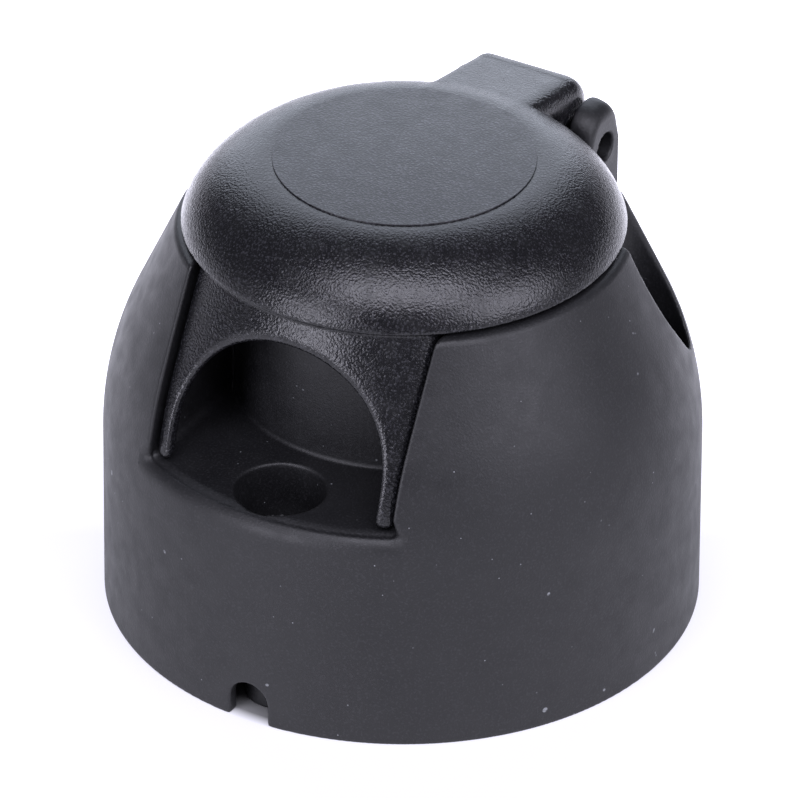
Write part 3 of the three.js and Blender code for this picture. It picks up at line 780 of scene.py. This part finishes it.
ARM = flat_field(arm_outline())


def arm(x, y, z):
    side_round = np.where(x < 0, ARM_LEFT_ROUND, ARM_RIGHT_ROUND)
    return smooth_max(ARM(y, z), np.abs(x) - ARM_HALF, side_round)


def tab(x, y, z):
    wall = bell(x, y, z)
    sheet = np.abs(wall + TAB_SINK + TAB_THICKNESS / 2) - TAB_THICKNESS / 2
    body = smooth_max(sheet, np.abs(x) - TAB_HALF, ROUND)
    body = np.maximum(np.maximum(body, z - RIM_Z - LID_WALL), y)
    arch = np.hypot(x, np.maximum(z - ARCH_Z, 0)) - ARCH_RADIUS
    leg_to_crown = np.clip((z - ARCH_Z) / ARCH_RADIUS, 0, 1)
    body = smooth_max(body, -arch, ARCH_LEG_ROUND + ARCH_CROWN_ROUND * leg_to_crown)
    return smooth_max(body, TAB_TIP_Z - z, TIP_ROUND)


def lid(x, y, z):
    cap = CAP(np.hypot(x, y), z)
    relief_reach = math.hypot(HINGE_Y - EAR_FRONT_Y, EAR_TOP_Z - HINGE_Z) + EAR_CLEARANCE
    relief = np.hypot(y - HINGE_Y, z - HINGE_Z) - relief_reach
    relief = np.maximum(relief, slab(np.abs(x), EAR_INNER_X - GAP, EAR_OUTER_X + GAP))
    body = smooth_max(cap, -relief, CREASE)
    body = smooth_min(body, arm(x, y, z), CREASE)
    pocket = np.maximum(np.abs(x) - CHEEK_INNER_X, RIM_RADIUS - y)
    body = smooth_max(body, -smooth_max(pocket, z - ARM_CEILING_Z, FULL), EDGE)
    hole = np.maximum(np.hypot(y - HINGE_Y, z - HINGE_Z) - PIN_HOLE_RADIUS, RIM_RADIUS - y)
    body = smooth_max(body, -hole, CRISP)
    return smooth_min(body, tab(x, y, z), ROUND)


# ---- insert ----
def contact_places():
    """Radius, angle and terminal foot of each contact, in the order of their names."""
    places = []
    for count, radius, foot in (
        (OUTER_COUNT, OUTER_CIRCLE, OUTER_TERMINAL_Z),
        (INNER_COUNT, INNER_CIRCLE, INNER_TERMINAL_Z),
        (1, 0.0, MIDDLE_TERMINAL_Z),
    ):
        start = -90 + (180 / count if count > 1 else 0)
        places += [(radius, start + 360 * i / count, foot) for i in range(count)]
    return places


def insert(x, y, z):
    foot = INSERT_TOP_Z - INSERT_THICKNESS
    lug = around(x, y, LUG_CIRCLE, LUG_ANGLES)
    flat = smooth_min(np.hypot(x, y) - INSERT_RADIUS, lug - LUG_RADIUS, FULL)
    body = smooth_max(flat, slab(z, foot, INSERT_TOP_Z), SOFT)
    post = rod(x, y, z, POST_RADIUS, foot, POST_TOP_Z, ROUND)
    body = smooth_min(body, post, SOFT)
    body = smooth_max(body, SHANK_RADIUS + GAP - lug, CRISP)
    hole = None
    for radius in sorted({place[0] for place in contact_places()}):
        angles = [place[1] for place in contact_places() if place[0] == radius]
        distance = around(x, y, radius, angles)
        hole = distance if hole is None else np.minimum(hole, distance)
    socket = np.maximum(hole - CONTACT_RADIUS - GAP, z - CONTACT_TOP_Z - GAP)
    return smooth_max(body, -np.minimum(socket, hole - CONTACT_BORE - GAP), EDGE)


# ---- small pieces ----
def at_place(radius, degrees):
    return Matrix.Rotation(math.radians(degrees), 4, "Z") @ Matrix.Translation((radius, 0, 0))


def contact_outline(foot):
    flange = INSERT_TOP_Z - INSERT_THICKNESS - GAP
    return filleted(
        [
            (0, foot + WIRE_DEPTH, 0),
            (WIRE_BORE, foot + WIRE_DEPTH, 0.2),
            (WIRE_BORE, foot, 0.25),
            (TERMINAL_RADIUS, foot, 0.3),
            (TERMINAL_RADIUS, flange, 0.25),
            (CONTACT_RADIUS, flange, 0.1),
            (CONTACT_RADIUS, CONTACT_TOP_Z, 0.15),
            (CONTACT_BORE, CONTACT_TOP_Z, 0.2),
            (CONTACT_BORE, CONTACT_BORE_FOOT_Z, 0.3),
            (0, CONTACT_BORE_FOOT_Z, 0),
        ]
    )


def clamp_screw(x, y, z):
    """A slotted screw along +Z, its shank's foot at z = 0."""
    shank_length = TERMINAL_RADIUS + 2 * GAP - WIRE_BORE
    top = shank_length + CLAMP_HEAD_HEIGHT
    body = rod(x, y, z, CLAMP_RADIUS, 0, top - SLOT_DEPTH, CLAMP_ROUND)
    head = rod(x, y, z, CLAMP_HEAD_RADIUS, shank_length, top, CLAMP_HEAD_ROUND)
    body = smooth_min(body, head, CLAMP_BLEND)
    slot = np.maximum(np.abs(y) - SLOT_WIDTH / 2, top - SLOT_DEPTH - z)
    return smooth_max(body, -slot, FINE_CUT)


def insert_screw(x, y, z):
    """A cross-head screw with its head down, its axis on Z."""
    seat = INSERT_TOP_Z - INSERT_THICKNESS - GAP
    foot = seat - HEAD_HEIGHT
    dome = np.sqrt(x * x + y * y + (z - seat - HEAD_DOME) ** 2) - (HEAD_HEIGHT + HEAD_DOME)
    head = smooth_max(rod(x, y, z, HEAD_RADIUS, foot, seat, CREASE), dome, CRISP)
    turn = np.arctan2(y, x) / (2 * math.pi)
    thread = THREAD_DEPTH * np.abs(((z / THREAD_PITCH - turn) % 1) - 0.5) * 2
    shank_span = slab(z, foot + SHANK_START, seat + SHANK_LENGTH)
    shank = np.maximum(np.hypot(x, y) - SHANK_RADIUS + thread, shank_span)
    cross = np.minimum(np.abs(x), np.abs(y)) - CROSS_HALF
    cross = np.maximum(np.maximum(cross, np.hypot(x, y) - CROSS_REACH), z - foot - CROSS_DEPTH)
    return smooth_max(smooth_min(head, shank, SHANK_BLEND), -cross, FINE_CUT)


def spring_path():
    """Down the upper leg, round the coil, down the lower leg."""
    coil = 2 * math.pi * COIL_RADIUS * COIL_TURNS
    count = COIL_TURNS * TURN_STEPS
    points = []
    for along in [-LEG_LENGTH, -LEG_LENGTH / 2] + [coil * k / count for k in range(count + 1)]:
        points.append(spring_point(along, coil))
    points += [spring_point(coil + LEG_LENGTH * share, coil) for share in (0.5, 1)]
    return points


def spring_point(along, coil):
    wound = min(max(along, 0), coil)
    beyond = along - wound
    angle = math.pi + wound / COIL_RADIUS
    lean = LEG_LEAN * abs(beyond) / LEG_LENGTH
    x = COIL_HALF_LENGTH * (2 * wound / coil - 1)
    y = HINGE_Y + COIL_RADIUS * math.cos(angle) - lean
    z = HINGE_Z + COIL_RADIUS * math.sin(angle) - beyond
    return (x, y, z)


# ---- assembly ----
FINE_STEP = 0.36
SMALLER_STEP = 0.9  # of that step, on the lid and the insert
CLAMP_STEP = 0.1
SCREW_STEP = 0.14
HOUSING_TRIANGLES = 130000
LID_TRIANGLES = 90000
INSERT_TRIANGLES = 40000
CLAMP_TRIANGLES = 1200
SCREW_TRIANGLES = 6000


def box_mm(node, margin=1.0):
    low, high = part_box(node)
    return [v / MM - margin for v in low], [v / MM + margin for v in high]


def build_mouldings():
    step = FINE_STEP
    mesh = moulded("housing_shell", housing, *box_mm("housing"), step, HOUSING_TRIANGLES)
    show("housing_shell", mesh, SHELL, HOUSING_BODY, "shell_plastic", *MOULDING_NODES)
    step *= SMALLER_STEP
    mesh = moulded("lid_cap", lid, *box_mm("lid"), step, LID_TRIANGLES)
    show("lid_cap", mesh, LID, LID_BODY, "lid_plastic", "lid")
    mesh = moulded("insert_body", insert, *box_mm("contact_insert"), step, INSERT_TRIANGLES)
    show("insert_body", mesh, INSERT, HOUSING_BODY, "insert_plastic", "contact_insert")
    disc = filleted(
        [
            (0, LID_TOP_Z - 2 * DISC_STEP, 0),
            (DISC_RADIUS, LID_TOP_Z - 2 * DISC_STEP, 0),
            (DISC_RADIUS, LID_TOP_Z, 0.08),
            (0, LID_TOP_Z, 0),
        ]
    )
    show("lid_disc", lathed("lid_disc", disc, 192), DISC, LID_BODY, "lid_plastic")


def build_rings():
    foot = BARREL_TOP_Z + GAP
    top = foot + SEAL_HEIGHT
    middle = (SEAL_INNER + SEAL_OUTER) / 2
    lip, groove = SEAL_LIP_HALF, SEAL_GROOVE_HALF
    edge = foot + SEAL_EDGE
    groove_z = foot + SEAL_GROOVE
    seal = filleted(
        [
            (SEAL_INNER, edge, 0.3),
            (middle - lip, foot, 0.4),
            (middle - groove, groove_z, 0.2),
            (middle + groove, groove_z, 0.2),
            (middle + lip, foot, 0.4),
            (SEAL_OUTER, edge, 0.3),
            (SEAL_OUTER, top, 0.3),
            (SEAL_INNER, top, 0.3),
        ]
    )
    show("seal_ring", lathed("seal_ring", seal, 128), RUBBER, LID_BODY, "seal_rubber", "lid_seal")
    low, high = INSERT_TOP_Z + GAP, INSERT_TOP_Z + GAP + GASKET_THICKNESS
    corners = [(GASKET_INNER, low), (GASKET_OUTER, low), (GASKET_OUTER, high), (GASKET_INNER, high)]
    gasket = filleted([(r, z, 0.3) for r, z in corners])
    mesh = lathed("gasket_ring", gasket, 128)
    show("gasket_ring", mesh, RUBBER, HOUSING_BODY, "seal_rubber", "insert_gasket")


def build_hinge():
    end = PIN_HALF_LENGTH
    outline = filleted([(0, -end, 0), (PIN_RADIUS, -end, 0.35), (PIN_RADIUS, end, 0.35), (0, end, 0)])
    place = Matrix.Translation((0, HINGE_Y, HINGE_Z)) @ Matrix.Rotation(math.pi / 2, 4, "Y")
    show("pin", lathed("pin", outline, 48, place), PIN, HOUSING_BODY, "pin_steel", "hinge_pin")
    coil = bpy.data.objects.new("coil_spring", tube("coil_spring", spring_path(), WIRE_RADIUS))
    bpy.context.scene.collection.objects.link(coil)
    coil.data.materials.append(SPRING)
    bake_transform(coil)
    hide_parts("lid_spring")


def placed(name, mesh, place, material, slot, node):
    copy = mesh.copy()
    copy.name = name
    copy.transform(Matrix.Scale(MM, 4) @ place @ Matrix.Scale(1 / MM, 4))
    return show(name, copy, material, HOUSING_BODY, slot, node)


def build_contacts():
    clamp = moulded("clamp", clamp_screw, (-2, -2, -0.5), (2, 2, 3.5), CLAMP_STEP, CLAMP_TRIANGLES)
    seat = INSERT_TOP_Z - INSERT_THICKNESS
    low, high = (-3, -3, seat - 4), (3, 3, seat + SHANK_LENGTH + 1)
    screw = moulded("screw", insert_screw, low, high, SCREW_STEP, SCREW_TRIANGLES)
    for i, (radius, degrees, foot) in enumerate(contact_places(), 1):
        place = at_place(radius, degrees)
        body = lathed(f"socket_{i:02d}", contact_outline(foot), 40)
        placed(f"socket_{i:02d}", body, place, BRASS, "contact_brass", f"contact_{i:02d}")
        lift = Matrix.Translation((WIRE_BORE - GAP, 0, foot + CLAMP_HEIGHT))
        sideways = lift @ Matrix.Rotation(math.pi / 2, 4, "Y")
        node = f"terminal_screw_{i:02d}"
        placed(f"clamp_{i:02d}", clamp, place @ sideways, SCREW, "screw_steel", node)
    for i, degrees in enumerate(LUG_ANGLES, 1):
        place = at_place(LUG_CIRCLE, degrees)
        placed(f"cross_screw_{i}", screw, place, SCREW, "screw_steel", f"insert_screw_{i}")


# ---- studio ----
CAMERA_AZIMUTH = math.radians(30.1)
CAMERA_ELEVATION = math.radians(32.288)
CAMERA_ROLL = math.radians(0.373)
CAMERA_DISTANCE = 1.1292
CAMERA_TARGET = Vector((0, 0, 0.03))
CAMERA_LENS = 373.5
CAMERA_SHIFT = (-0.0037, -0.0098)
SOFTBOX_DISTANCE = 1.7
WORLD_STRENGTH = 0.12
COOL = (0.88, 0.87, 1.0)
BLUE = (0.80, 0.86, 1.0)
FLOOR_HALF = 4.0
FLOOR_GREY = (0.3, 0.3, 0.3)
FLOOR_ROUGHNESS = 0.8
FLOOR_BRIGHT_AZIMUTH = math.radians(210.1)
FLOOR_FRONT = 0.8
FLOOR_BACK = 3.0
FLOOR_FADE = (0.01, 0.14)
FLOOR_EDGE = (0.16, 0.3)
FLOOR_FAR = 0.3


def direction(azimuth, elevation):
    flat = math.cos(elevation)
    return Vector((math.sin(azimuth) * flat, -math.cos(azimuth) * flat, math.sin(elevation)))


def build_camera():
    back = direction(CAMERA_AZIMUTH, CAMERA_ELEVATION)
    right = Vector((math.cos(CAMERA_AZIMUTH), math.sin(CAMERA_AZIMUTH), 0))
    up = back.cross(right)
    rolled = right * math.cos(CAMERA_ROLL) + up * math.sin(CAMERA_ROLL)
    data = bpy.data.cameras.new("camera")
    data.lens = CAMERA_LENS
    data.shift_x, data.shift_y = CAMERA_SHIFT
    data.clip_end = 50
    camera = bpy.data.objects.new("camera", data)
    axes = Matrix((rolled, back.cross(rolled), back)).transposed().to_4x4()
    camera.matrix_world = Matrix.Translation(CAMERA_TARGET + back * CAMERA_DISTANCE) @ axes
    bpy.context.scene.collection.objects.link(camera)
    bpy.context.scene.camera = camera


def softbox(name, azimuth, elevation, width, height, radiance, color):
    """A rectangular light at SOFTBOX_DISTANCE, its width and height as angles seen from the object."""
    data = bpy.data.lights.new(name, "AREA")
    data.shape = "RECTANGLE"
    data.size = 2 * SOFTBOX_DISTANCE * math.tan(math.radians(width / 2))
    data.size_y = 2 * SOFTBOX_DISTANCE * math.tan(math.radians(height / 2))
    data.energy = radiance * math.pi * data.size * data.size_y
    data.color = color
    light = bpy.data.objects.new(name, data)
    aim = direction(math.radians(azimuth), math.radians(elevation))
    light.location = aim * SOFTBOX_DISTANCE
    light.rotation_euler = aim.to_track_quat("Z", "Y").to_euler()
    bpy.context.scene.collection.objects.link(light)


def build_world():
    world = bpy.data.worlds.new("studio")
    world.use_nodes = True
    background = world.node_tree.nodes["Background"]
    background.inputs["Color"].default_value = (*COOL, 1)
    background.inputs["Strength"].default_value = WORLD_STRENGTH
    bpy.context.scene.world = world


def build_floor():
    """White paper that glows all round the foot, most towards one side, and is dark under it."""
    mesh = bpy.data.meshes.new("floor")
    half = FLOOR_HALF
    corners = [(-half, -half, 0), (half, -half, 0), (half, half, 0), (-half, half, 0)]
    mesh.from_pydata(corners, [], [(0, 1, 2, 3)])
    floor = bpy.data.objects.new("floor", mesh)
    bpy.context.scene.collection.objects.link(floor)
    finish = Finish("floor_white", FLOOR_GREY, FLOOR_ROUGHNESS)
    away = finish.nodes.new("ShaderNodeVectorMath")
    away.operation = "DOT_PRODUCT"
    away.inputs[1].default_value = direction(FLOOR_BRIGHT_AZIMUTH, 0)
    finish.links.new(finish.coordinates, away.inputs[0])
    radius = finish.nodes.new("ShaderNodeVectorMath")
    radius.operation = "LENGTH"
    finish.links.new(finish.coordinates, radius.inputs[0])
    foot = FOOT_RADIUS * MM
    outside = finish.ranged(radius.outputs["Value"], (foot - WALL * MM, foot), (0, 1))
    side = finish.ranged(away.outputs["Value"], FLOOR_FADE, (FLOOR_FRONT, FLOOR_BACK))
    near = finish.ranged(radius.outputs["Value"], FLOOR_EDGE, (1, FLOOR_FAR))
    glow = outside
    for factor in (side, near):
        product = finish.nodes.new("ShaderNodeMath")
        product.operation = "MULTIPLY"
        finish.links.new(glow, product.inputs[0])
        finish.links.new(factor, product.inputs[1])
        glow = product.outputs["Value"]
    finish.shader.inputs["Emission Color"].default_value = (*COOL, 1)
    finish.links.new(glow, finish.shader.inputs["Emission Strength"])
    mesh.materials.append(finish.material)


def build_studio():
    build_camera()
    build_world()
    build_floor()
    softbox("top_front", 27, 57, 58, 24, 6.4, COOL)
    softbox("right", 84, 25, 40, 28, 5.0, COOL)
    softbox("left", -16, 13, 26, 26, 7.0, COOL)
    softbox("behind", 212, 30, 56, 60, 2.2, BLUE)
    bpy.context.scene.view_settings.view_transform = "Standard"


build_studio()
build_mouldings()
build_rings()
build_hinge()
build_contacts()
